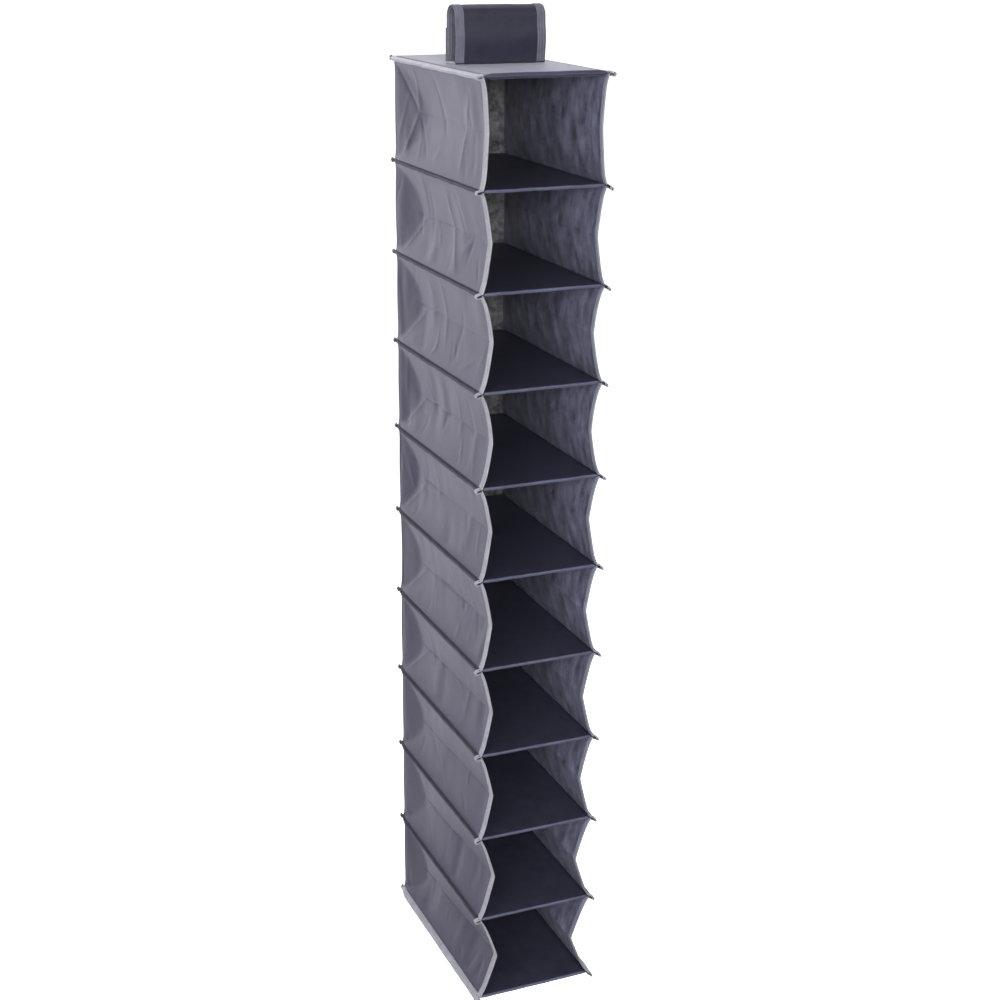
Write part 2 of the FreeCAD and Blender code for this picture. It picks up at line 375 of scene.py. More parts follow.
def seam_wave(number, edge, along):
    """Unevenness of one seam along its length, shared by every cloth sewn into it: about -1 to 1.

    edge is 0 for the left seam of a level, 1 for the right and 2 for the rear.
    """
    rng = np.random.default_rng(5000 + 10 * number + edge)
    total = np.zeros(np.shape(along))
    for length in (140.0, 63.0, 27.0):
        total = total + rng.uniform(0.2, 0.4) * np.sin(along * 2 * np.pi / length + rng.uniform(0, 6.28))
    if edge < 2 and number > 0:
        total = total + (0.8, 5.0)[edge] * smooth(FRONT + 26, FRONT - 2, along)
    if number == POCKETS:
        total = total + BOTTOM_DROOP
    return total


def seam_share(out, most=1.0):
    """Share of the way along a seam's free width, at a distance outside the wall."""
    return np.clip((out - SEAM_ROOT) / (FIN - SEAM_ROOT), 0, most)


def seam_sag(out, wave):
    """How far a seam hangs below its own height, at a distance outside the wall."""
    return FIN_DROOP * (1 + 0.55 * wave) * seam_share(out, 1.3) ** 1.4


def seam_reach(out, wave):
    """A seam's distance outside the wall, with its edge cut a little unevenly."""
    return out + 0.25 * np.clip(wave, -1.2, 1.2) * seam_share(out)


def seam_waves(profile, pocket, edge, along):
    """The unevenness of a wall's two seams, on a grid of places along them and profile points."""
    upper = seam_wave(pocket - 1, edge, along)[:, None]
    lower = seam_wave(pocket, edge, along)[:, None]
    return np.where(profile.share[None, :] < 0.5, upper, lower)


def inward(pocket, side, y, share):
    """How far a side wall leans in, at a depth y and a share of the way down."""
    front_depth = (CREASE_LEFT if side < 0 else CREASE_RIGHT)[pocket - 1]
    at = CREASE_HEIGHT[pocket - 1]
    position = np.where(share < at, share / at, (1 - share) / (1 - at))
    blunt = 0.03
    sharp_fold = 1 - (np.hypot(1 - position, blunt) - blunt) / (math.hypot(1, blunt) - blunt)
    bulge = ROUND_FOLD[pocket - 1]
    sharp_fold = sharp_fold + bulge * np.sin(np.pi * position) * np.where(share < at, 1, 0.5)
    round_fold = np.sin(np.pi / 2 * position) ** 0.9
    rearward = smooth(FRONT + 90, REAR - 50, y)
    fold = sharp_fold * (1 - rearward) + round_fold * rearward
    rear_depth = max(CREASE_REAR, 0.62 * front_depth)
    deep = front_depth + (rear_depth - front_depth) * smooth(FRONT + 20, REAR - 90, y)
    facet = (REAR - y) * rear_depth / FACETS[pocket - 1]
    return np.maximum(0, soft_min(deep * fold, facet, 1.1))


def side_points(pocket, side, profile, rng, wrinkles=1.0):
    """Middle surface of a side wall on a grid of depths and profile points. side is -1 on the left."""
    yy, share, out, zz, seam = profile.grids(DEPTHS)
    calm = smooth(0, 9, seam) * smooth(FRONT + 8, FRONT + 20, yy) * smooth(REAR, REAR - 5, yy)
    folds = ridges(rng, yy, zz, 9, 0.85 * wrinkles, lean=0.12, long=(20, 50), wide=(8.0, 17.0))
    if side > 0:
        folds += ridges(rng, yy, zz, 16, 0.8, lean=0.35, long=(9, 30), wide=(4.0, 10.0))
    else:
        folds += ridges(rng, yy, zz, 12, 0.42 * wrinkles, lean=0.5, long=(8, 24), wide=(2.2, 4.5))
        for y0, v0, y1, v1, depth, width in WALL_FOLDS.get(pocket, ()):
            start, end = (y0, v0 * profile.height), (y1, v1 * profile.height)
            folds += fold_line(REAR - yy, profile.top - zz, start, end, 0.7 * depth, 0.7 * width)
    folds += 0.16 * wrinkles * lattice(rng, yy, zz, 22, 34)
    folds += 0.05 * lattice(rng, yy, zz, 5, 6)
    middle = (share - CREASE_HEIGHT[pocket - 1]) * profile.height
    pressed = np.exp(-((middle / 1.5) ** 2)) * smooth(REAR - 45, REAR - 90, yy)
    folds -= pressed * (0.8 + 0.4 * lattice(rng, yy, yy * 0, 40, 40))
    wave = seam_waves(profile, pocket, 0 if side < 0 else 1, DEPTHS)
    bow = np.sin(np.pi * share) ** 0.9
    end = np.exp(-(((REAR - yy) / 30) ** 2))
    parted = np.sin(np.pi * seam_share(out)) * smooth(14, 3, yy - FRONT)
    zz = zz + SEAM_GAPE * parted * np.where(share < 0.5, -1, 1) - seam_sag(out, wave)
    past = (out + CORNER_BOW_Y * bow) * smooth(REAR - 25, REAR, yy)
    out = seam_reach(out, wave) + folds * calm + CORNER_BOW_X[pocket - 1] * bow * end
    out = out - inward(pocket, side, yy, share)
    return stacked(side * (HALF_WIDTH + out), yy + past, zz)


def back_points(pocket, profile, rng, wrinkles=1.0):
    """Middle surface of a back wall on a grid of places across it and profile points."""
    xx, share, out, zz, seam = profile.grids(ACROSS)
    bow = np.sin(np.pi * share) ** 0.9
    calm = smooth(0, 9, seam) * smooth(1.0, 0.93, abs(xx) / HALF_WIDTH)
    folds = ridges(rng, xx, zz, 12, 0.9 * wrinkles)
    folds += ridges(rng, xx, zz, 4, 0.8, lean=1.0, long=(14, 34), wide=(1.5, 3.5))
    folds += 0.3 * lattice(rng, xx, zz, 14, 20)
    if pocket == 1:
        arc = [(x, share_down * profile.height) for x, share_down in BACK_ARC]
        for start, end in zip(arc, arc[1:]):
            folds += fold_line(xx, profile.top - zz, start, end, 6.0, 1.9)
    crown = 3.0 * bow * (1 - (xx / HALF_WIDTH) ** 2)
    half = HALF_WIDTH + out + CORNER_BOW_X[pocket - 1] * bow
    wave = seam_waves(profile, pocket, 2, ACROSS)
    out_y = seam_reach(out, wave) + crown + folds * calm + CORNER_BOW_Y * bow
    return stacked(xx / HALF_WIDTH * half, REAR + out_y, zz - seam_sag(out, wave))


# ---- materials


def set_inputs(tree, node, inputs):
    """Gives each of a node's inputs its value, or the link that it comes from."""
    for key, value in dict(inputs).items():
        if isinstance(value, bpy.types.NodeSocket):
            tree.links.new(value, node.inputs[key])
        else:
            node.inputs[key].default_value = value


def add_node(tree, kind, inputs, **settings):
    """A new node with its settings and inputs."""
    node = tree.nodes.new(kind)
    for key, value in settings.items():
        setattr(node, key, value)
    set_inputs(tree, node, inputs)
    return node


class Nodes:
    """Short ways to add and join a material's shader nodes."""

    def __init__(self, name):
        self.material = bpy.data.materials.new(name)
        self.material.use_nodes = True
        self.tree = self.material.node_tree
        self.shader = self.tree.nodes["Principled BSDF"]

    def add(self, kind, inputs=(), **settings):
        return add_node(self.tree, kind, inputs, **settings)

    def math(self, operation, a, b=0.0, clamp=False):
        return self.add("ShaderNodeMath", {0: a, 1: b}, operation=operation, use_clamp=clamp).outputs[0]

    def plus(self, a, b, clamp=False):
        return self.math("ADD", a, b, clamp)

    def minus(self, a, b):
        return self.math("SUBTRACT", a, b)

    def times(self, a, b):
        return self.math("MULTIPLY", a, b)

    def wave(self, value, pitch):
        return self.math("SINE", self.times(value, 2 * math.pi / pitch))

    def place(self, scale=(1, 1, 1), turn=0.0):
        """The piece's own texture coordinates in metres, scaled and turned."""
        source = self.add("ShaderNodeUVMap", uv_map="cloth").outputs["UV"]
        inputs = {"Vector": source, "Scale": scale, "Rotation": (0, 0, turn)}
        return self.add("ShaderNodeMapping", inputs).outputs["Vector"]

    def across(self, turn=0.0):
        """The two texture coordinates on their own."""
        return self.add("ShaderNodeSeparateXYZ", {0: self.place(turn=turn)}).outputs[:2]

    def solid_place(self, scale=(1, 1, 1)):
        source = self.add("ShaderNodeTexCoord").outputs["Object"]
        return self.add("ShaderNodeMapping", {"Vector": source, "Scale": scale}).outputs["Vector"]

    def noise(self, place, scale, detail=3.0, rough=0.6):
        inputs = {"Vector": place, "Scale": scale, "Detail": detail, "Roughness": rough}
        return self.add("ShaderNodeTexNoise", inputs).outputs["Fac"]

    def spread(self, value, low, high, to_low=0.0, to_high=1.0):
        return self.add("ShaderNodeMapRange", {0: value, 1: low, 2: high, 3: to_low, 4: to_high}).outputs[0]

    def mix(self, share, a, b):
        """A mix of two colours, each a link or three numbers."""
        a, b = (c if isinstance(c, bpy.types.NodeSocket) else (*c, 1.0) for c in (a, b))
        return self.add("ShaderNodeMix", {0: share, 6: a, 7: b}, data_type="RGBA").outputs[2]

    def finish(self, colour, rough, height, bump=0.5, deep=0.0002, sheen=0.0, tint=(1, 1, 1), specular=0.5):
        """Joins everything to the shader. deep is how far the bumps stand out, in metres."""
        bumps = self.add("ShaderNodeBump", {"Height": height, "Strength": bump, "Distance": deep})
        looks = {"Base Color": colour, "Roughness": rough, "Normal": bumps.outputs["Normal"]}
        looks |= {"Sheen Weight": sheen, "Sheen Roughness": 0.4, "Sheen Tint": (*tint, 1)}
        looks |= {"Specular IOR Level": specular}
        set_inputs(self.tree, self.shader, looks)
        return self.material


POINT_PITCH = 0.0018  # between the rows of points that press the fibres together


def spun_cloth(name, dark, light, mottle, rough, sheen, specular, cloud_size=55.0, painted_sheen_streaks=0.0):
    """Non-woven polypropylene: short fibres pressed together by rows of small points. A share of long light
    streaks can be mixed in as painted sheen.
    """
    n = Nodes(name)
    x, y = (n.wave(turned, POINT_PITCH) for turned in n.across(math.pi / 4))
    points = n.spread(n.times(x, y), 0.35, 0.85)
    fibres = n.noise(n.place((1, 0.35, 1), 0.5), 2600.0, 2.0, 0.7)
    threads = n.noise(n.place((0.3, 1, 1), -0.2), 1500.0, 2.0, 0.7)
    clouds = n.noise(n.solid_place(), cloud_size, 4.0, 0.62)
    patches = n.noise(n.place(), 12.0, 3.0, 0.5)
    tone = n.plus(n.times(clouds, 0.62), n.times(patches, 0.38))
    # painted sheen: long light streaks that stand in for highlights on wrinkles
    if painted_sheen_streaks:
        painted_sheen_lines = n.noise(n.place((1, 0.36, 1)), 55.0, 5.0, 0.66)
        tone = n.plus(n.times(tone, 1 - painted_sheen_streaks), n.times(painted_sheen_lines, painted_sheen_streaks))
    tone = n.spread(tone, 0.5 - 0.18 / mottle, 0.5 + 0.18 / mottle)
    tone = n.plus(tone, n.times(n.minus(fibres, 0.5), 0.7), clamp=True)
    colour = n.mix(tone, dark, light)
    colour = n.mix(n.times(points, 0.22), colour, tuple(0.55 * c for c in dark))
    roughness = n.plus(n.times(clouds, 0.16), rough - 0.08)
    roughness = n.minus(roughness, n.times(points, 0.06))
    height = n.minus(n.plus(fibres, threads), n.times(points, 1.3))
    return n.finish(colour, roughness, height, 0.3, 0.0001, sheen, (0.9, 0.9, 1.0), specular)


def edge_tape(name, dark, light, ribs, rough=0.7, specular=0.4, sheen=0.25):
    """Woven edge tape with ribs along its length and fine cross threads."""
    n = Nodes(name)
    x, y = n.across()
    along = n.wave(x, ribs)
    weave = n.times(n.wave(y, 0.0011), n.wave(x, 0.0009))
    fuzz = n.noise(n.place(), 1800.0, 3.0, 0.7)
    soil = n.noise(n.solid_place(), 70.0, 4.0, 0.6)
    tone = n.plus(n.spread(soil, 0.3, 0.7, 0.25, 0.85), n.times(weave, 0.14))
    tone = n.plus(tone, n.times(along, 0.16))
    tone = n.plus(tone, n.times(n.minus(fuzz, 0.5), 0.5), clamp=True)
    colour = n.mix(tone, dark, light)
    roughness = n.spread(fuzz, 0.2, 0.8, rough - 0.08, rough + 0.1)
    height = n.plus(n.times(weave, 0.5), n.plus(n.times(along, 0.8), fuzz))
    return n.finish(colour, roughness, height, 0.5, 0.00018, sheen, (1, 1, 1), specular)


WALL_CLOTH = spun_cloth("wall_cloth", (0.064, 0.058, 0.093), (0.104, 0.096, 0.148), 0.5, 0.36, 0.1, 0.6)
# inside of the side walls: a lighter, streaked copy of the wall cloth, painted light and painted sheen inside
# the pockets
WALL_INSIDE_PAINTED_LIGHT = spun_cloth(
    "wall_inside_painted_light", (0.034, 0.032, 0.046), (0.290, 0.292, 0.425), 1.3, 0.42, 0.1, 0.5, 60.0, painted_sheen_streaks=0.55
)
# the seam hems: a darker copy of the wall cloth, painted shade along the seams
HEM_CLOTH_PAINTED_SHADE = spun_cloth("hem_cloth_painted_shade", (0.034, 0.032, 0.046), (0.060, 0.057, 0.082), 0.5, 0.6, 0.05, 0.3)
# the seams' cut edges: lighter than the wall cloth, a painted highlight along each seam's rim
CUT_EDGE_PAINTED_HIGHLIGHT = spun_cloth("cut_edge_painted_highlight", (0.12, 0.12, 0.14), (0.24, 0.24, 0.28), 1.0, 0.7, 0.05, 0.3)
# inside of the back walls: a neutral grey cloth, made lighter and cloudier as painted light shining through
# the thin cloth from behind
BACK_CLOTH_PAINTED_LIGHT = spun_cloth(
    "back_cloth", (0.055, 0.054, 0.056), (0.250, 0.246, 0.250), 1.5, 0.65, 0.05, 0.3, cloud_size=110.0
)
SHELF_CLOTH = spun_cloth("shelf_cloth", (0.036, 0.036, 0.057), (0.073, 0.073, 0.117), 0.7, 0.5, 0.0, 0.3)
# top panel: a lighter copy of the shelf cloth, painted reflection of the bright sweep seen at a grazing angle
TOP_CLOTH_PAINTED_REFLECTION = spun_cloth("top_cloth_painted_reflection", (0.078, 0.076, 0.108), (0.132, 0.127, 0.178), 0.5, 0.5, 0.35, 0.5)
FOLDED_EDGE = spun_cloth("folded_edge", (0.038, 0.039, 0.068), (0.072, 0.074, 0.128), 0.8, 0.42, 0.1, 0.6)
# the shelves' folded front edges: a lighter copy of the shelf cloth, a painted highlight
SHELF_FOLD_PAINTED_HIGHLIGHT = spun_cloth("shelf_fold", (0.088, 0.096, 0.145), (0.180, 0.196, 0.292), 0.8, 0.42, 0.1, 0.6)
STRAP_CLOTH = spun_cloth("strap_cloth", (0.021, 0.020, 0.036), (0.037, 0.035, 0.062), 0.45, 0.34, 0.05, 0.65)
TAPE_CLOTH = edge_tape("tape_cloth", (0.30, 0.305, 0.340), (0.54, 0.545, 0.600), 0.0030, 0.45, 0.8, 0.5)
# the front tapes' inward faces: a darker, bluer copy of the tape cloth, painted shade
TAPE_INSIDE_PAINTED_SHADE = edge_tape("tape_inside_painted_shade", (0.190, 0.205, 0.255), (0.365, 0.390, 0.470), 0.0030, 0.5, 0.5, 0.3)
STRAP_TAPE = edge_tape("strap_tape", (0.095, 0.097, 0.125), (0.20, 0.205, 0.255), 0.0036)


def thread_material(name, colour):
    n = Nodes(name)
    twist = n.add("ShaderNodeTexWave", {"Vector": n.solid_place(), "Scale": 900.0, "Distortion": 1.5})
    fuzz = n.noise(n.solid_place(), 2500.0, 2.0)
    tone = n.times(twist.outputs["Fac"], fuzz)
    shade = n.mix(tone, tuple(0.6 * c for c in colour), tuple(min(1, 1.3 * c) for c in colour))
    return n.finish(shade, n.spread(fuzz, 0, 1, 0.5, 0.75), tone, 0.5, 0.0001, 0.2)


DARK_THREAD = thread_material("dark_thread", (0.055, 0.055, 0.072))
LIGHT_THREAD = thread_material("light_thread", (0.42, 0.43, 0.46))
STRAP_THREAD = thread_material("strap_thread", (0.17, 0.175, 0.21))


def board_material():
    n = Nodes("pressed_board")
    solid = n.solid_place((1, 1, 6))
    pulp = n.noise(solid, 600.0, 5.0, 0.7)
    clouds = n.noise(solid, 40.0, 3.0)
    tone = n.plus(n.times(pulp, 0.6), n.times(clouds, 0.4))
    colour = n.mix(tone, (0.20, 0.15, 0.10), (0.42, 0.34, 0.25))
    return n.finish(colour, n.spread(pulp, 0, 1, 0.75, 0.95), pulp, 0.4, 0.0002)


def brushed_material(name, colour, rough):
    n = Nodes(name)
    solid = n.solid_place()
    fuzz = n.noise(solid, 1500.0, 4.0, 0.75)
    clumps = n.noise(solid, 260.0, 3.0)
    tone = n.times(fuzz, n.plus(clumps, 0.4))
    shade = n.mix(tone, tuple(0.5 * c for c in colour), tuple(1.9 * c for c in colour))
    return n.finish(shade, n.spread(fuzz, 0, 1, rough - 0.1, rough + 0.1), fuzz, 0.9, 0.0004, 0.4)


BOARD = board_material()
LOOP_NYLON = brushed_material("loop_nylon", (0.030, 0.030, 0.038), 0.85)
HOOK_NYLON = brushed_material("hook_nylon", (0.022, 0.022, 0.026), 0.45)

# ---- stitches


STITCH, STITCH_GAP = 3.2, 1.1
THREAD_RADIUS = 0.24
THREAD_LIFT = 0.05
STITCH_SHARES = np.array([0.0, 0.12, 0.5, 0.88, 1.0])  # places along a stitch
STITCH_SIZES = np.array([0.35, 0.85, 1.0, 0.85, 0.35])  # thickness there
STITCH_SINKS = np.array([-1.0, -0.25, 0.35, -0.25, -1.0])  # height there, in thread radii


def stitch_run(line, normals):
    """Thread stitches along a line of points, each a short capsule that dips into the cloth at its ends."""
    normals = np.broadcast_to(np.asarray(normals, float), line.shape)
    at = running_length(line)
    pitch = STITCH + STITCH_GAP
    count = int((at[-1] - 2) / pitch)
    start = (at[-1] - count * pitch + STITCH_GAP) / 2
    around = np.linspace(0, 2 * np.pi, 6, endpoint=False)[:, None]
    capsule = tube_faces(len(STITCH_SHARES), len(around), fan_caps)
    points, faces = [], []
    for i in range(count):
        where = start + i * pitch + STITCH_SHARES * STITCH
        centre, up = read_off(where, at, line), read_off(where, at, normals)
        up /= np.linalg.norm(up, axis=1, keepdims=True)
        ahead = centre[-1] - centre[0]
        beside = np.cross(ahead / np.linalg.norm(ahead), up)
        centre = centre + up * (THREAD_LIFT + STITCH_SINKS * THREAD_RADIUS)[:, None]
        faces += shifted(capsule, len(points))
        for c, u, b, size in zip(centre, up, beside, STITCH_SIZES):
            points.extend(c + size * THREAD_RADIUS * (np.cos(around) * b + np.sin(around) * u))
    return points, faces


def stitches(name, runs, material, body, slot="binding_tape"):
    """One piece from several runs of stitches."""
    points, faces = [], []
    for run_points, run_faces in runs:
        faces += shifted(run_faces, len(points))
        points.extend(run_points)
    points = np.array(points)
    return make_piece(name, points, faces, points[:, :2], material, body, slot, sharp=80)


# ---- pockets

DEPTH_PARTS = ((FRONT, FRONT + 20, 11), (FRONT + 20, REAR - 12, 112), (REAR - 12, REAR, 9))
DEPTHS = np.unique(np.concatenate([np.linspace(*part) for part in DEPTH_PARTS]))
ACROSS = np.linspace(-HALF_WIDTH, HALF_WIDTH, 76)
HEM_FACES = 5  # rows of faces at each end of a wall's section that lie in its seam


def folding(piece):
    """Gives a wall piece a mesh of its own."""
    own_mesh(piece)
    return piece


INNER_RING = (range(6, 18), range(13, 18))  # faces of a right and a left front tape that look inwards
TAPE_NOSE = 0.6  # how far behind its front edge a folded tape starts to curve round it
STITCHED = slice(9, -9)  # the points of a wall's section that its front tape's stitches run along
TAPE_TURN = np.radians(np.linspace(90, -90, 9)[1:-1])
LIVELY_POCKETS, CALM = 5, 0.75  # the pockets below these have calmer folds


def front_tape(wall, side, pocket):
    """Tape folded round the front edge of a wall: out, round the nose and back inside, along the section."""
    wall = wall[:, HEM_FACES:-HEM_FACES]
    normals = grid_normals(wall) * -side
    reach = np.linspace(TAPE_WIDTH[pocket - 1], TAPE_NOSE, 6)
    reach_in = np.linspace(TAPE_NOSE, INNER_TAPE_WIDTH, 5)

    def face_line(offset):
        """Places on a face of the tape, from its outer edge round to its inner one."""
        nose = [(TAPE_NOSE - offset * math.cos(a), offset * math.sin(a)) for a in TAPE_TURN]
        return [(d, offset) for d in reach] + nose + [(d, -offset) for d in reach_in]

    outline = np.array(face_line(TAPE_OFFSET + TAPE / 2) + face_line(TAPE_OFFSET - TAPE / 2)[::-1])
    places = FRONT + np.maximum(outline[:, 0], 0)
    sections = []
    for j in range(wall.shape[1]):
        base, normal = (read_off(places, wall[:, j, 1], v[:, j]) for v in (wall, normals))
        normal /= np.linalg.norm(normal, axis=1, keepdims=True)
        base[:, 1] = FRONT + outline[:, 0]
        sections.append(base + normal * outline[:, 1:])
    points = np.array(sections)
    return folded_tape(points, running_length(outline), running_length(points[:, 0]))


def wall_face_materials(rows, columns):
    """For each face of a wall's shell: 0 outside, 1 inside, in a cloth with painted light, 2 the sewn hems,
    in a darker cloth as painted shade, 3 their cut edges, in a lighter cloth as a painted highlight.
    """
    column = np.tile(np.arange(columns - 1), rows - 1)
    hem = (column < HEM_FACES) | (column >= columns - 1 - HEM_FACES)
    rim = np.full(2 * (rows + columns - 2), 2)
    rim[columns - 1 : columns + rows - 2] = 3
    rim[-(rows - 1) :] = 3
    return np.concatenate([np.where(hem, 2, 0), np.where(hem, 2, 1), rim]).astype(np.int32)


def make_wall(name, wall, along, profile, inside, pocket, slot, node, flip=False):
    """A cloth wall round its middle surface, in place of a CAD node."""
    uv = np.stack(crossed(along, profile.length), axis=-1)
    if flip:
        wall, uv = wall[:, ::-1], uv[:, ::-1]
    # the inside takes a cloth with painted light, the hems one with painted shade, the cut edges one with a
    # painted highlight
    cloths = [WALL_CLOTH, inside, HEM_CLOTH_PAINTED_SHADE, CUT_EDGE_PAINTED_HIGHLIGHT]
    marks = wall_face_materials(*wall.shape[:2])
    piece = make_piece(
        name, *shell(wall, CLOTH, uv), cloths, LEVEL_BODIES[pocket - 1], slot, face_materials=marks
    )
    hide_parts(node)
    return folding(piece)


def make_front_binding(pocket, side, tag, wall):
    """The tape round a side wall's front edge, and its two rows of stitches."""
    body = LEVEL_BODIES[pocket - 1]
    normals = grid_normals(wall) * -side
    points, faces, uv = front_tape(wall, side, pocket)
    wall_faces = wall.shape[1] - 2 * HEM_FACES - 1
    ring_faces = len(points) // (wall_faces + 1)
    marks = np.zeros(len(faces), np.int32)
    inner_side = np.isin(np.arange(ring_faces), INNER_RING[side < 0])
    marks[: wall_faces * ring_faces] = np.tile(inner_side, wall_faces)
    # the inward faces take the darker tape with painted shade
    cloths = [TAPE_CLOTH, TAPE_INSIDE_PAINTED_SHADE]
    tape = make_piece(f"front_binding_{tag}", points, faces, uv, cloths, body, "binding_tape", 40, marks)
    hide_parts(f"front_bindings_{pocket:02d}")
    folding(tape)
    runs = []
    for face, place in ((1, TAPE_WIDTH[pocket - 1] - 2), (-1, INNER_TAPE_WIDTH - 1.4)):
        row = int(np.argmin(abs(DEPTHS - (FRONT + place))))
        line, normal = wall[row, STITCHED], normals[row, STITCHED] * face
        runs.append(stitch_run(line + normal * (TAPE_OFFSET + TAPE / 2), normal))
    thread = stitches(f"binding_stitches_{tag}", runs, LIGHT_THREAD, body)
    return [tape, folding(thread)]


def make_pocket(pocket):
    """A pocket's three cloth walls with their front tapes, which hang from the level above it."""
    profile = Profile(LEVEL_Z[pocket - 1], LEVEL_Z[pocket])
    liveliness = 1.0 if pocket <= LIVELY_POCKETS else CALM
    for side, word in ((-1, "left"), (1, "right")):
        rng = np.random.default_rng(100 * pocket + (7 if side < 0 else 61))
        wall = side_points(pocket, side, profile, rng, liveliness)
        tag = f"{pocket:02d}_{word}"
        node = f"side_panels_{pocket:02d}"
        # the side walls' inside takes the cloth with painted light and sheen
        piece = make_wall(
            f"side_wall_{tag}", wall, DEPTHS, profile, WALL_INSIDE_PAINTED_LIGHT, pocket, "side_cloth", node, side > 0
        )
        binding = make_front_binding(pocket, side, tag, wall)
    rng = np.random.default_rng(100 * pocket + 33)
    wall = back_points(pocket, profile, rng, liveliness)
    name, node = f"back_wall_{pocket:02d}", f"back_panel_{pocket:02d}"
    # the back wall's inside takes the grey cloth with painted light
    piece = make_wall(name, wall, ACROSS, profile, BACK_CLOTH_PAINTED_LIGHT, pocket, "back_cloth", node)


# ---- levels

SLEEVE_X = np.array([83, 81.5, 79, 77, 75.8, 75.2, 74.8, 74.3, 73.6, 72.5, 70.5, 67.5, 64.0])
SLEEVE_X = np.concatenate([-SLEEVE_X, np.linspace(-60, 60, 31), SLEEVE_X[::-1]])
SLEEVE_FRONT = FRONT + np.array([0, 0.12, 0.4, 0.8, 1.3, 2.0, 3.2, 5.0, 8.0, 12.0])
SLEEVE_REAR = REAR + np.array([-5, -3, -1.8, -1.0, -0.5, -0.1, 0.4, 1.2, 3.0, 5.5, 8.0])
SLEEVE_Y = np.concatenate([SLEEVE_FRONT, np.linspace(FRONT + 16, REAR - 8, 70), SLEEVE_REAR])


def sleeve_half(x, y, number):
    """Half thickness of a cloth-covered board. The top one has a raised front edge."""
    edge = np.minimum(HALF_WIDTH - abs(x), REAR - y)
    body = 0.8 + (HALF_SLEEVE - 0.8) * np.clip(edge / 1.4, 0, 1) ** 0.55
    if number == 0:
        body += 1.5 * smooth(12, 3, y - FRONT) * smooth(HALF_WIDTH, HALF_WIDTH - 9, abs(x))
    nose = np.clip((y - FRONT) / body, 0.004, 1)
    return body * np.sqrt(1 - (1 - nose) ** 2)


def make_level(number):
    """The cloth sleeve round one level's board, with its seams turned outwards."""
    level, body = LEVELS[number], LEVEL_BODIES[number]
    z = LEVEL_Z[number]
    rng = np.random.default_rng(900 + number)
    x, y = crossed(SLEEVE_X, SLEEVE_Y)
    half = sleeve_half(x, y, number)
    out = np.maximum(abs(x) - HALF_WIDTH, y - REAR)
    side_wave = np.where(x < 0, seam_wave(number, 0, y), seam_wave(number, 1, y))
    wave = np.where(y - REAR > abs(x) - HALF_WIDTH, seam_wave(number, 2, x), side_wave)
    sag = seam_sag(out, wave)
    spread = (seam_reach(out, wave) - out) * (out > 0)
    x = x + np.sign(x) * spread * (abs(x) > HALF_WIDTH)
    y = y + spread * (y > REAR)
    board_area = smooth(2, 8, HALF_WIDTH - abs(x)) * smooth(2, 8, REAR - y) * smooth(1, 6, y - FRONT)
    quilt = (0.18 * lattice(rng, x, y, 30, 34) + 0.05 * lattice(rng, x, y, 7, 7)) * board_area
    lip = 0.25 * lattice(rng, x, y * 0, 14, 50) * smooth(8, 0, y - FRONT)
    lip = lip * smooth(HALF_WIDTH + 4, HALF_WIDTH - 3, abs(x))
    corner = 0.3 * smooth(HALF_WIDTH - 9, HALF_WIDTH, abs(x)) * smooth(14, 0, y - FRONT)
    y_shaped = y + corner * smooth(HALF_WIDTH + 3, HALF_WIDTH, abs(x))
    upper = stacked(x, y_shaped, z + half - sag + quilt + lip)
    lower = stacked(x, y_shaped, z - half - sag + quilt * 0.5 + lip)
    points, faces = between(upper, lower)
    uv = points[:, :2] + np.repeat((0, 7), x.size)[:, None]
    rows, columns = x.shape
    # the front rows of each sleeve; on the shelves they take a lighter cloth as a painted highlight
    edge_rows = np.tile(SLEEVE_Y[1:] < FRONT + 2.2, rows - 1) & np.repeat(abs(SLEEVE_X[1:]) < 76, columns - 1)
    rim = np.zeros(2 * (rows + columns - 2), bool)
    # the top sleeve takes the lighter cloth with painted reflection
    cloths = [TOP_CLOTH_PAINTED_REFLECTION, FOLDED_EDGE] if number == 0 else [SHELF_CLOTH, SHELF_FOLD_PAINTED_HIGHLIGHT]
    marks = np.concatenate([edge_rows, edge_rows, rim]).astype(np.int32)
    piece = make_piece(f"{level}_sleeve", points, faces, uv, cloths, body, "shelf_cloth", 60, marks)
    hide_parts(f"{level}_cover")
    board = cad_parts[f"{level}_board"].data
    board.materials.clear()
    board.materials.append(BOARD)


def tape_section(width, gap, tape, steps, rib=0.0, rib_pitch=3.6):
    """Closed section of a tape folded over an edge, as (distance in from the fold, offset) points.

    gap is half of what the tape is folded round. rib raises ribs on both outer faces.
    """
    reach = np.linspace(width, TAPE_NOSE, steps)
    bump = rib * (0.5 - 0.5 * np.cos(2 * np.pi * (reach - TAPE_NOSE) / rib_pitch))
    outer, inner = gap + tape, gap
    ring = [(d, outer + b) for d, b in zip(reach, bump)]
    ring += [(TAPE_NOSE - outer * math.cos(a) * 0.9, outer * math.sin(a)) for a in TAPE_TURN]
    ring += [(d, -outer - b) for d, b in zip(reach[::-1], bump[::-1])]
    ring += [(d, -inner) for d in reach]
    ring += [(TAPE_NOSE - inner * math.cos(a) * 0.9, -inner * math.sin(a)) for a in TAPE_TURN]
    ring += [(d, inner) for d in reach[::-1]]
    return np.array(ring)


# ---- bindings of the end levels and seam ends

BINDING_GAP = 1.35
BINDING_TAPE = 0.55
SEAM_PLIES = 0.4  # an end level's seam is that much thicker on the side of its wall


def seam_points(edge, along, out, height):
    """Points along a level's edge, at a distance out of it. edge is 0 left, 1 right and 2 rear."""
    if edge == 2:
        return stacked(along, REAR + out, height)
    return stacked((-1, 1)[edge] * (HALF_WIDTH + out), along, height)


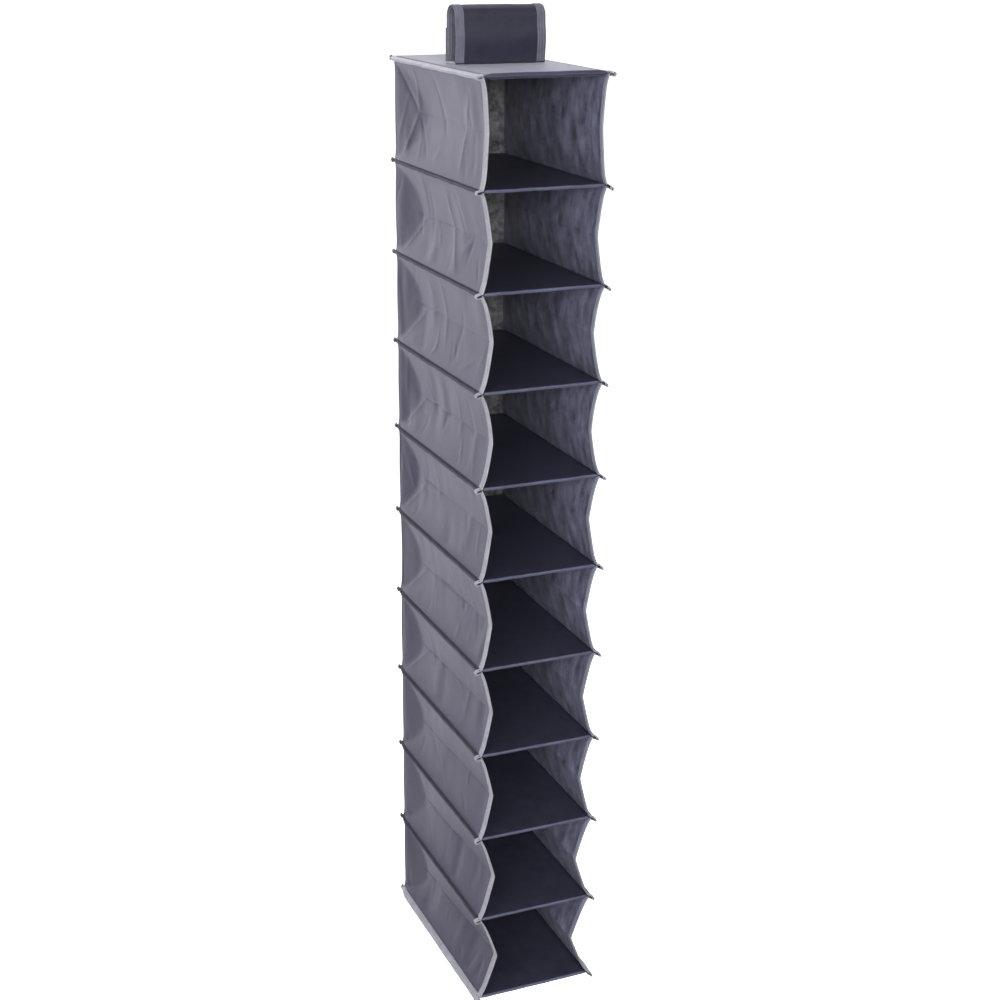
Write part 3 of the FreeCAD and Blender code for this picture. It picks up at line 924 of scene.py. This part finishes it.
def seam_tape(number, edge, along, section, thick=0.0, middle=0.0, lift=0.0, proud=1.6):
    """Sections of a tape folded round a seam's edge."""
    wave = seam_wave(number, edge, along)[:, None]
    out = FIN + proud - section[:, 0]
    height = LEVEL_Z[number] + middle + section[:, 1] - seam_sag(out, wave) + np.reshape(lift, (-1, 1))
    far = seam_reach(out, wave) + thick * seam_share(out)
    return seam_points(edge, along[:, None], far, height)


def end_level_bindings(number, word):
    """Light tapes folded round the side and rear seams of the top or the bottom panel."""
    section = tape_section(6.0, BINDING_GAP, BINDING_TAPE, 16, 0.32, 2.7)
    middle = (-1 if number == 0 else 1) * SEAM_PLIES
    depth = np.linspace(FRONT - 1.2, REAR + FIN + 1.8, 90)
    curl = -1.2 * smooth(FRONT + 8, FRONT - 1, depth) - 0.9 * smooth(REAR + 2, REAR + 10, depth)
    across = np.linspace(-HALF_WIDTH - FIN + 3, HALF_WIDTH + FIN - 3, 60)
    edges = (("left", depth, curl), ("right", depth, curl), ("rear", across, 0.0))
    for edge, (name, along, lift) in enumerate(edges):
        grid = seam_tape(number, edge, along, section, middle=middle, lift=lift)
        piece = swept_piece(f"{word}_binding_{name}", grid, TAPE_CLOTH, LEVEL_BODIES[number])
        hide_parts(f"{word}_edge_bindings")


def seam_end_tapes(number):
    """Short tape ends folded round the corners of a level's side seams, as small light ears."""
    body = LEVEL_BODIES[number]
    front = np.linspace(FRONT - 1.6, FRONT + 4.6, 8)
    rear = np.linspace(REAR + 3.4, REAR + FIN + 1.4, 7)
    droop = -0.5 * smooth(FRONT + 3, FRONT - 1.5, front)
    rise = 0.8 * smooth(REAR + 4, REAR + 9, rear)
    front_section = tape_section(6.0, 1.7, 0.75, 6)
    rear_section = tape_section(3.4, 1.75, 0.55, 4)
    for edge, word in ((0, "left"), (1, "right")):
        grid = seam_tape(number, edge, front, front_section, thick=0.5, lift=droop, proud=1.4)
        swept_piece(f"{LEVELS[number]}_seam_end_front_{word}", grid, TAPE_CLOTH, body)
        grid = seam_tape(number, edge, rear, rear_section, thick=0.4, lift=rise, proud=0.6)
        swept_piece(f"{LEVELS[number]}_seam_end_rear_{word}", grid, STRAP_TAPE, body)


def seam_stitches(number):
    """Rows of stitches along a level's side and rear seams, above and below."""
    runs = []
    if number in (0, POCKETS):
        out, surface, thread, slot = 5.6, BINDING_GAP + BINDING_TAPE, LIGHT_THREAD, "binding_tape"
        middle = (-1 if number == 0 else 1) * SEAM_PLIES
    else:
        out, surface, thread, slot = 4.6, PLY + CLOTH / 2, DARK_THREAD, "shelf_cloth"
        middle = 0
    for edge in (0, 1, 2):
        low, high = (FRONT + 7, REAR) if edge < 2 else (-HALF_WIDTH + 2, HALF_WIDTH - 2)
        along = np.linspace(low, high, 80)
        sag = seam_sag(out, seam_wave(number, edge, along))
        for face in (1, -1):
            line = seam_points(edge, along, out, LEVEL_Z[number] + middle + face * surface - sag)
            runs.append(stitch_run(line, (0, 0, face)))
    stitches(f"{LEVELS[number]}_seam_stitches", runs, thread, LEVEL_BODIES[number], slot)


# ---- strap

STRAP_HIGH = box_mm("strap_flap_bindings")[1]
FLAP_LOW = box_mm("strap_flap")[0]
TAB_LOW, TAB_HIGH = box_mm("strap_tab")
BASE_LOW, BASE_HIGH = box_mm("strap_base")
HALF_STRAP = STRAP_HIGH[0]
STRAP = 1.5  # thickness
RAIL_RADIUS = STRAP_HIGH[2] - 1.8
STRAP_TAPE_WIDTH, STRAP_TAPE_THICKNESS = 11.0, 0.42
STRAP_SECTION = tape_section(STRAP_TAPE_WIDTH, STRAP / 2 - 0.1, STRAP_TAPE_THICKNESS, 22, 0.28, 3.4)
STITCH_ROWS = (2.3, STRAP_TAPE_WIDTH - 2.6)  # from the strap's side edge
FLAP_END = -45.0
FLAP_BULGE = 2.4  # how far the flap's front leg bows out


def flap_path(count=16):
    """Middle line of the flap as (y, z), its length, and its outward normals."""
    radius = RAIL_RADIUS + STRAP / 2
    foot = FLAP_LOW[2] + 0.2
    leg = np.linspace(foot, 0, count)[:-1]
    turn = np.linspace(math.pi, 0, 37)
    rear = np.linspace(0, FLAP_END, count - 2)[1:]
    z = np.concatenate([leg, radius * np.sin(turn), rear])
    turn = np.concatenate([np.full(len(leg), math.pi), turn, np.zeros(len(rear))])
    normal_y, normal_z = np.cos(turn), np.sin(turn)
    bulge = FLAP_BULGE * np.sin(np.pi * np.clip((z - foot) / -foot, 0, 1)) ** 2 * (normal_y < 0)
    y, z = normal_y * (radius + bulge), z + normal_z * bulge
    return y, z, running_length(stacked(y, z)), normal_y, normal_z


def strap_cloth(word, body, x, y, z, along):
    """One of the strap's three pieces of cloth, round the grid of its middle surface."""
    sheet = shell(stacked(x, y, z), STRAP - 0.3, stacked(x, along))
    piece = make_piece(f"strap_{word}_cloth", *sheet, STRAP_CLOTH, body, "strap_cloth")
    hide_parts(f"strap_{word}")
    return piece


def strap_edges(name, body, y, z, normal_y, normal_z, material, faces=(1,)):
    """Tapes folded round both sides of a strap cloth with that middle line, and their stitches' runs."""
    zero, y, z, normal_y, normal_z = np.broadcast_arrays(0.0, y, z, normal_y, normal_z)
    line = stacked(zero, y, z)
    normal = stacked(zero, normal_y, normal_z)
    tapes, runs = [], []
    for side, hand in ((-1, "left"), (1, "right")):
        grid = line[:, None] + normal[:, None] * STRAP_SECTION[:, 1:]
        grid[:, :, 0] = side * (HALF_STRAP - STRAP_SECTION[:, 0])
        tapes.append(swept_piece(f"{name}_binding_{hand}", grid, material, body))
        for distance in STITCH_ROWS:
            for face in faces:
                row = line + normal * (STRAP / 2 + STRAP_TAPE_THICKNESS) * face
                row[:, 0] = side * (HALF_STRAP - distance)
                runs.append(stitch_run(row, normal * face))
    return tapes, runs


def make_flap():
    """The strap's flap, from its sewn line up over the rail and down behind."""
    rng = np.random.default_rng(71)
    y, z, length, ny, nz = flap_path()
    xx, ll = crossed(np.linspace(-HALF_STRAP + 0.7, HALF_STRAP - 0.7, 64), length)
    calm = smooth(HALF_STRAP - 8, HALF_STRAP - 20, abs(xx)) * smooth(0, 12, ll)
    wave = ridges(rng, ll, xx, 9, 0.45, lean=0.2, long=(25, 70), wide=(3, 8)) * calm
    wave += 0.12 * lattice(rng, xx, ll, 9, 9) * calm
    wave = np.maximum(wave, -0.05)
    flap = strap_cloth("flap", "strap_flap", xx, y + ny * wave, z + nz * wave, ll)
    tapes, runs = strap_edges("strap", "strap_flap", y, z, ny, nz, STRAP_TAPE, (1, -1))
    for tape in tapes:
        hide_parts("strap_flap_bindings")
    thread = stitches("strap_binding_stitches", runs, STRAP_THREAD, "strap_flap")


def make_base_and_tab():
    """The strap's two flat pieces: one sewn to the top panel, and the short tab behind."""
    rng = np.random.default_rng(72)
    base_z = (BASE_LOW[2] + BASE_HIGH[2]) / 2 + 0.25
    tab_y = (TAB_LOW[1] + TAB_HIGH[1]) / 2 - 0.1
    depth = np.linspace(BASE_LOW[1] + 0.3, BASE_HIGH[1] - 0.3, 24)
    height = np.linspace(TAB_LOW[2] + 0.2, TAB_HIGH[2], 24)
    x = np.linspace(-HALF_STRAP + 0.7, HALF_STRAP - 0.7, 60)
    for word, body, along in (("base", "top_panel", depth), ("tab", "strap_tab", height)):
        flat = word == "base"
        xx, aa = crossed(x, np.linspace(along[0], along[-1], 20))
        wave = 0.12 * lattice(rng, xx, aa, 14, 12)
        y, z = (aa, base_z + wave) if flat else (tab_y + wave, aa)
        plate = strap_cloth(word, body, xx, y, z, aa)
        line = (along, base_z, 0.0, 1.0, TAPE_CLOTH) if flat else (tab_y, along, 1.0, 0.0, STRAP_TAPE)
        tapes, runs = strap_edges(f"strap_{word}", body, *line)
        if flat:
            for place in (BASE_LOW[1] + 3.0, BASE_HIGH[1] - 3.0, (BASE_LOW[1] + BASE_HIGH[1]) / 2):
                row = (np.linspace(-HALF_STRAP + 12, HALF_STRAP - 12, 40), place, base_z + STRAP / 2 - 0.15)
                runs.append(stitch_run(stacked(*row), (0, 0, 1)))
        thread = stitches(f"strap_{word}_stitches", runs, STRAP_THREAD, body)


def strap_folds():
    """Rolled cloth where the strap's two upright parts turn up from its base."""
    x = np.linspace(-HALF_STRAP + 0.3, HALF_STRAP - 0.3, 50)[:, None]
    angle = np.linspace(0, 2 * np.pi, 14, endpoint=False)
    radius = STRAP / 2 + 0.12
    for place, word in ((FLAP_LOW[1] + STRAP / 2, "front"), (TAB_HIGH[1] - STRAP / 2, "rear")):
        y = place + radius * np.cos(angle) + 0.06 * np.sin(x / 7.0)
        z = BASE_HIGH[2] - 0.35 + radius * np.sin(angle)
        points = stacked(x, y, z).reshape(-1, 3)
        faces = tube_faces(len(x), len(angle), fan_caps)
        uv = points[:, :2] * (1, 2)
        make_piece(f"strap_fold_{word}", points, faces, uv, STRAP_CLOTH, "top_panel", "strap_cloth")


HOOK_COLUMNS, HOOK_ROWS = 68, 21


def make_closing_tapes():
    """Hook tape with rows of small hooks, and loop tape with a brushed, uneven nap."""
    rng = np.random.default_rng(73)
    low, high = box_mm("hook_tape")
    face = low[1] + 0.55
    xx, zz = crossed(np.linspace(low[0], high[0], 40), np.linspace(low[2], high[2], 14))
    middle = stacked(xx, (face + high[1]) / 2 + 0.03 * lattice(rng, xx, zz, 6, 6), zz)
    base, faces, _ = shell(middle, high[1] - face, stacked(xx, zz))
    points = list(base)
    rings = ((0.26, face + 0.05, 0.0), (0.2, face - 0.28, -0.05), (0.17, low[1] + 0.02, -0.3))
    corners = ((-1, -1), (1, -1), (1, 1), (-1, 1))
    hook = np.array([(a * half, y, b * half * 0.8 + drop) for half, y, drop in rings for a, b in corners])
    hook_faces = tube_faces(len(rings), len(corners), fan_caps)
    x_step, z_step = (high[0] - low[0] - 2) / HOOK_COLUMNS, (high[2] - low[2] - 1.6) / HOOK_ROWS
    for i in range(HOOK_COLUMNS):
        for j in range(HOOK_ROWS):
            faces += shifted(hook_faces, len(points))
            points.extend(hook + (low[0] + 1 + (i + 0.5) * x_step, 0, low[2] + 0.8 + (j + 0.5) * z_step))
    points = np.array(points)
    piece = make_piece(
        "hook_tape_face", points, faces, points[:, [0, 2]], HOOK_NYLON, "strap_tab", "hook_tape", 30
    )
    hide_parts("hook_tape")
    low, high = box_mm("loop_tape")
    xx, zz = crossed(np.linspace(low[0], high[0], 150), np.linspace(low[2], high[2], 48))
    edge = smooth(0, 1.5, np.minimum(high[0] - abs(xx), np.minimum(zz - low[2], high[2] - zz)))
    nap = 0.12 * lattice(rng, xx, zz, 1.6, 1.6) + 0.08 * lattice(rng, xx, zz, 4, 3)
    outer = stacked(xx, low[1] + 0.35 + 0.35 * edge + nap * edge, zz)
    inner = stacked(xx, low[1] - 0.1, zz)
    points, faces = between(outer, inner)
    piece = make_piece(
        "loop_tape_nap", points, faces, points[:, [0, 2]], LOOP_NYLON, "strap_flap", "loop_tape", 60
    )
    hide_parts("loop_tape")


for number in range(POCKETS + 1):
    make_level(number)
    seam_stitches(number)
    seam_end_tapes(number)
end_level_bindings(0, "top")
end_level_bindings(POCKETS, "bottom")
make_flap()
make_base_and_tab()
strap_folds()
make_closing_tapes()
for pocket in range(1, POCKETS + 1):
    make_pocket(pocket)

# ---- floor, light and camera

CAMERA_PLACE = (-0.8246, -1.9653, 0.1097)
CAMERA_ANGLES = (22.98, -18.63, 0.37)  # azimuth, pitch and roll
CAMERA_LENS = 62.02
SWEEP_EDGE = (0.76, 0.90)  # cosine of the angle from straight behind, where the white sweep ends and starts
SWEEP_LOW, SWEEP_HIGH = 0.4, 1.5
UNDER_FRONT, UNDER_REAR = 0.05, 0.5
ROOM, ROOM_COLOUR = 0.13, (0.965, 0.95, 1.06, 1)
GLOW_EDGE = (-0.55, -0.95)  # the same cosine, where the soft glow in front starts and is full
GLOW = 0.35
LEFT_POWER, FRONT_POWER, TOP_POWER, REAR_POWER = 39, 42, 17, 22
FLOOR_Z, FLOOR_SIZE, FLOOR_GLOW = CAD_LOW[2] - 0.35, 300, 0.95


def make_floor():
    n = Nodes("pale_floor")
    grain = n.noise(n.solid_place(), 3.0, 4.0)
    colour = n.mix(grain, (0.88, 0.88, 0.885), (0.92, 0.92, 0.925))
    n.finish(colour, n.spread(grain, 0, 1, 0.8, 0.9), grain, 0.05, 0.0005)
    set_inputs(n.tree, n.shader, {"Emission Color": (1, 1, 1, 1), "Emission Strength": FLOOR_GLOW})
    mesh = bpy.data.meshes.new("floor")
    corners = ((-1, -1), (1, -1), (1, 1), (-1, 1))
    mesh.from_pydata([(x * FLOOR_SIZE, y * FLOOR_SIZE, FLOOR_Z) for x, y in corners], [], [(0, 1, 2, 3)])
    mesh.materials.append(n.material)
    floor = new_object("floor", mesh)
    floor.visible_diffuse = floor.visible_glossy = False


def add_light(name, place, target, size, power, colour=(1, 1, 1)):
    data = bpy.data.lights.new(name, "AREA")
    data.shape = "RECTANGLE"
    data.size, data.size_y = size
    data.energy = power
    data.color = colour
    light = new_object(name, data)
    light.location = place
    light.rotation_euler = (Vector(target) - Vector(place)).to_track_quat("-Z", "Y").to_euler()
    light.visible_camera = False


def make_world():
    """A white sweep behind and under the object, bright near the horizon, and a dim room in front."""
    world = bpy.data.worlds.new("studio")
    bpy.context.scene.world = world
    world.use_nodes = True
    tree = world.node_tree
    background = tree.nodes["Background"]

    def add(kind, inputs=(), **settings):
        return add_node(tree, kind, inputs, **settings)

    def ramp(value, low, high, to_low=0.0, to_high=1.0):
        inputs = {0: value, 1: low, 2: high, 3: to_low, 4: to_high}
        return add("ShaderNodeMapRange", inputs, interpolation_type="SMOOTHSTEP").outputs[0]

    def product(a, b, operation="MULTIPLY"):
        return add("ShaderNodeMath", {0: a, 1: b}, operation=operation).outputs[0]

    direction = add("ShaderNodeTexCoord").outputs["Generated"]
    level = add("ShaderNodeVectorMath", {0: direction, 1: (1, 1, 0)}, operation="MULTIPLY").outputs[0]
    level = add("ShaderNodeVectorMath", {0: level}, operation="NORMALIZE").outputs[0]
    rearward = add("ShaderNodeSeparateXYZ", {0: level}).outputs[1]
    height = add("ShaderNodeSeparateXYZ", {0: direction}).outputs[2]
    sweep = product(ramp(rearward, *SWEEP_EDGE), ramp(height, 0.75, 0.25))
    sweep = product(sweep, ramp(height, -0.75, -0.1, SWEEP_LOW, SWEEP_HIGH))
    under = product(ramp(height, -0.25, -0.8), ramp(rearward, -0.6, 0.5, UNDER_FRONT, UNDER_REAR))
    glow = product(ramp(rearward, *GLOW_EDGE, 0.0, GLOW), ramp(height, -0.2, 0.25))
    strength = product(product(product(sweep, under, "ADD"), glow, "ADD"), ROOM, "ADD")
    set_inputs(tree, background, {"Strength": strength, "Color": ROOM_COLOUR})
    pale = add("ShaderNodeBackground", {"Color": (1, 1, 1, 1), "Strength": 1.0}).outputs[0]
    seen = add("ShaderNodeLightPath").outputs["Is Camera Ray"]
    shader = add("ShaderNodeMixShader", {0: seen, 1: background.outputs[0], 2: pale}).outputs[0]
    set_inputs(tree, tree.nodes["World Output"], {"Surface": shader})


def make_light():
    make_world()
    middle = (0, 0, -0.62)
    add_light("left", (-2.1, -1.9, -0.1), middle, (2.0, 1.6), LEFT_POWER, (0.97, 0.98, 1.0))
    add_light("front", (-0.78, -2.9, 0.3), middle, (0.9, 0.8), FRONT_POWER)
    add_light("top", (-0.2, 0.6, 1.6), middle, (1.6, 1.6), TOP_POWER)
    add_light("rear", (2.0, 0.9, 0.8), middle, (1.4, 1.4), REAR_POWER)


def make_camera():
    data = bpy.data.cameras.new("camera")
    data.sensor_width, data.lens = 36, CAMERA_LENS
    data.clip_start, data.clip_end = 0.05, 200
    azimuth, pitch, roll = (math.radians(angle) for angle in CAMERA_ANGLES)
    level = math.cos(pitch)
    ahead = Vector((math.sin(azimuth) * level, math.cos(azimuth) * level, math.sin(pitch)))
    turn = ahead.to_track_quat("-Z", "Y").to_matrix().to_4x4() @ Matrix.Rotation(roll, 4, "Z")
    camera = new_object("camera", data)
    camera.matrix_world = Matrix.Translation(CAMERA_PLACE) @ turn
    bpy.context.scene.camera = camera


make_floor()
make_light()
make_camera()
bpy.context.scene.view_settings.view_transform = "Standard"
